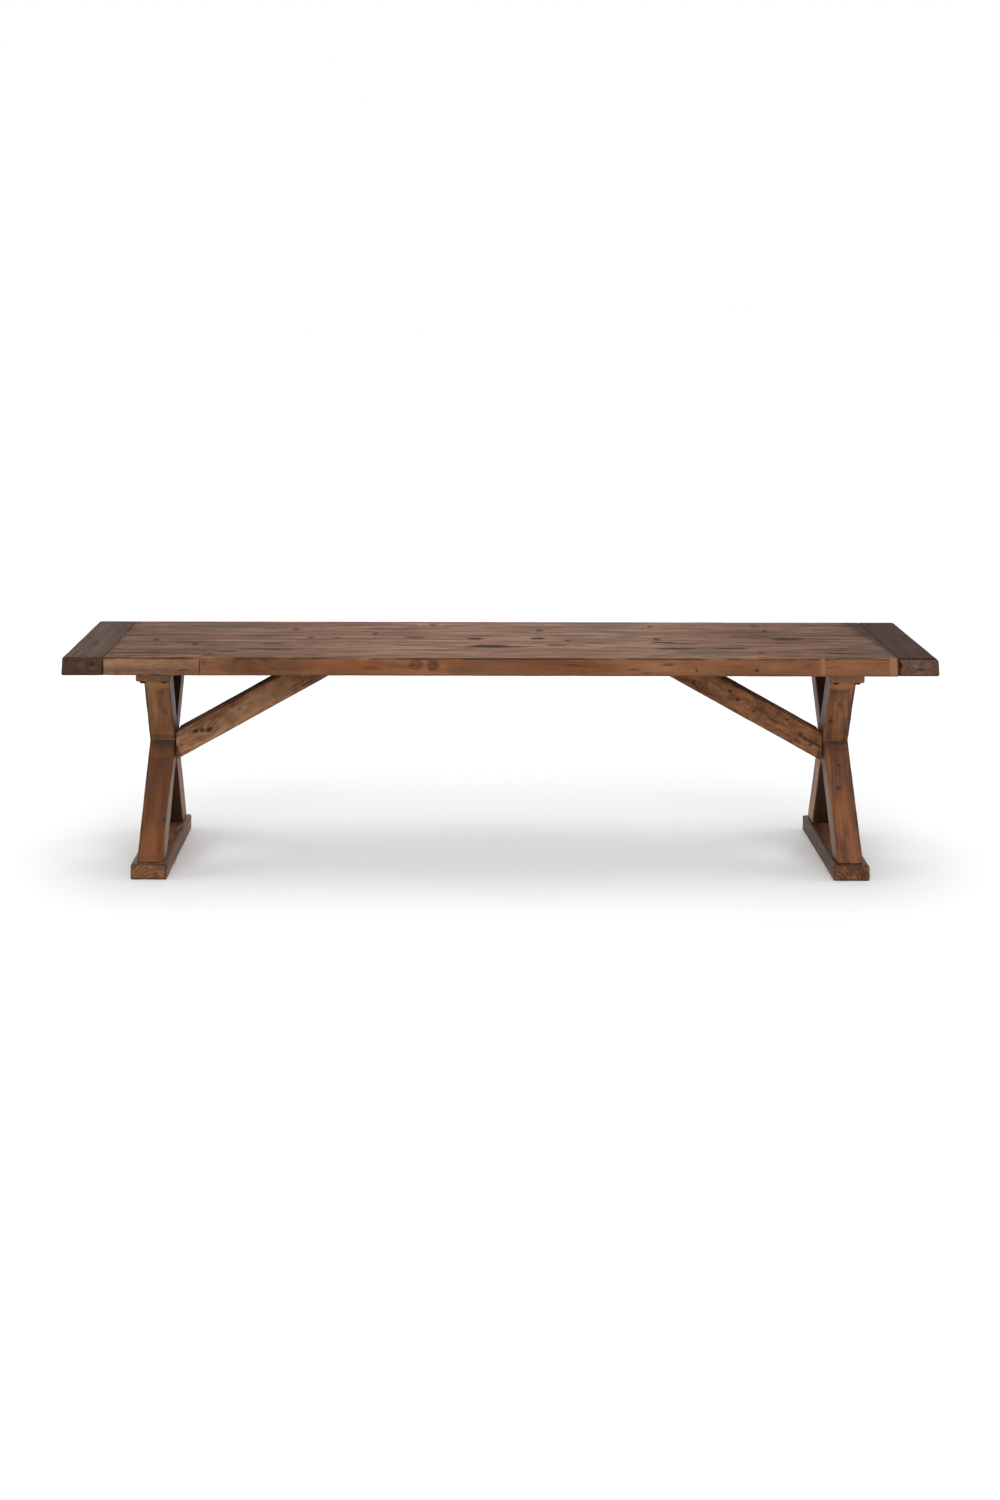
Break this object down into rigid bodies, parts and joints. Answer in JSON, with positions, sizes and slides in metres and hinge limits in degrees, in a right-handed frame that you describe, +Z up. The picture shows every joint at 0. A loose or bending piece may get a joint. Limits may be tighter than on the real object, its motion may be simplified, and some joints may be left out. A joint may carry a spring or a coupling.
{
  "type": "dining bench",
  "caption": "Trestle dining bench in reclaimed pine: plank top with breadboard ends on half-lapped X trestles with slanting braces.",
  "frame": {"origin": "on the floor, under the middle of the bench", "axes": "+X along the bench to its right end, +Y from its front to its back, +Z up"},
  "size_m": [1.78, 0.36, 0.457],
  "materials": {
    "seat_pine": "stained and waxed, worn",
    "board_end_pine": "dark stained, worn",
    "trestle_pine": "stained, satin",
    "foot_pine": "stained, satin",
    "brace_pine": "stained, satin",
    "black_steel": "black oxide",
    "zinc_steel": "zinc plated",
    "yellow_zinc_steel": "yellow zinc plated",
    "peg_beech": "plain"
  },
  "bodies": {
    "root": {"seat_plank_1_short": "seat_pine", "seat_plank_1_long": "seat_pine", "seat_plank_2": "seat_pine", "seat_plank_3": "seat_pine", "seat_plank_4": "seat_pine", "seat_plank_5": "seat_pine", "left_breadboard_end": "board_end_pine", "right_breadboard_end": "board_end_pine", "left_crossbar": "trestle_pine", "right_crossbar": "trestle_pine", "left_leg_rising_to_back": "trestle_pine", "left_leg_rising_to_front": "trestle_pine", "right_leg_rising_to_back": "trestle_pine", "right_leg_rising_to_front": "trestle_pine", "left_foot_rail": "foot_pine", "right_foot_rail": "foot_pine", "left_brace": "brace_pine", "right_brace": "brace_pine", "left_bolt_front_inner": "black_steel", "left_bolt_front_outer": "black_steel", "left_bolt_back_inner": "black_steel", "left_bolt_back_outer": "black_steel", "right_bolt_front_inner": "black_steel", "right_bolt_front_outer": "black_steel", "right_bolt_back_inner": "black_steel", "right_bolt_back_outer": "black_steel", "left_insert_front_inner": "zinc_steel", "left_insert_front_outer": "zinc_steel", "left_insert_back_inner": "zinc_steel", "left_insert_back_outer": "zinc_steel", "right_insert_front_inner": "zinc_steel", "right_insert_front_outer": "zinc_steel", "right_insert_back_inner": "zinc_steel", "right_insert_back_outer": "zinc_steel", "left_leg_top_screw_front": "yellow_zinc_steel", "left_leg_top_screw_back": "yellow_zinc_steel", "right_leg_top_screw_front": "yellow_zinc_steel", "right_leg_top_screw_back": "yellow_zinc_steel", "left_leg_foot_screw_front": "yellow_zinc_steel", "left_leg_foot_screw_back": "yellow_zinc_steel", "right_leg_foot_screw_front": "yellow_zinc_steel", "right_leg_foot_screw_back": "yellow_zinc_steel", "left_lap_screw": "yellow_zinc_steel", "right_lap_screw": "yellow_zinc_steel", "left_brace_end_screw_lower": "yellow_zinc_steel", "left_brace_end_screw_upper": "yellow_zinc_steel", "right_brace_end_screw_lower": "yellow_zinc_steel", "right_brace_end_screw_upper": "yellow_zinc_steel", "left_brace_top_screw_tip": "yellow_zinc_steel", "left_brace_top_screw_shoulder": "yellow_zinc_steel", "right_brace_top_screw_tip": "yellow_zinc_steel", "right_brace_top_screw_shoulder": "yellow_zinc_steel", "left_breadboard_peg_front": "peg_beech", "left_breadboard_peg_middle": "peg_beech", "left_breadboard_peg_back": "peg_beech", "right_breadboard_peg_front": "peg_beech", "right_breadboard_peg_middle": "peg_beech", "right_breadboard_peg_back": "peg_beech"}
  },
  "joints": []
}
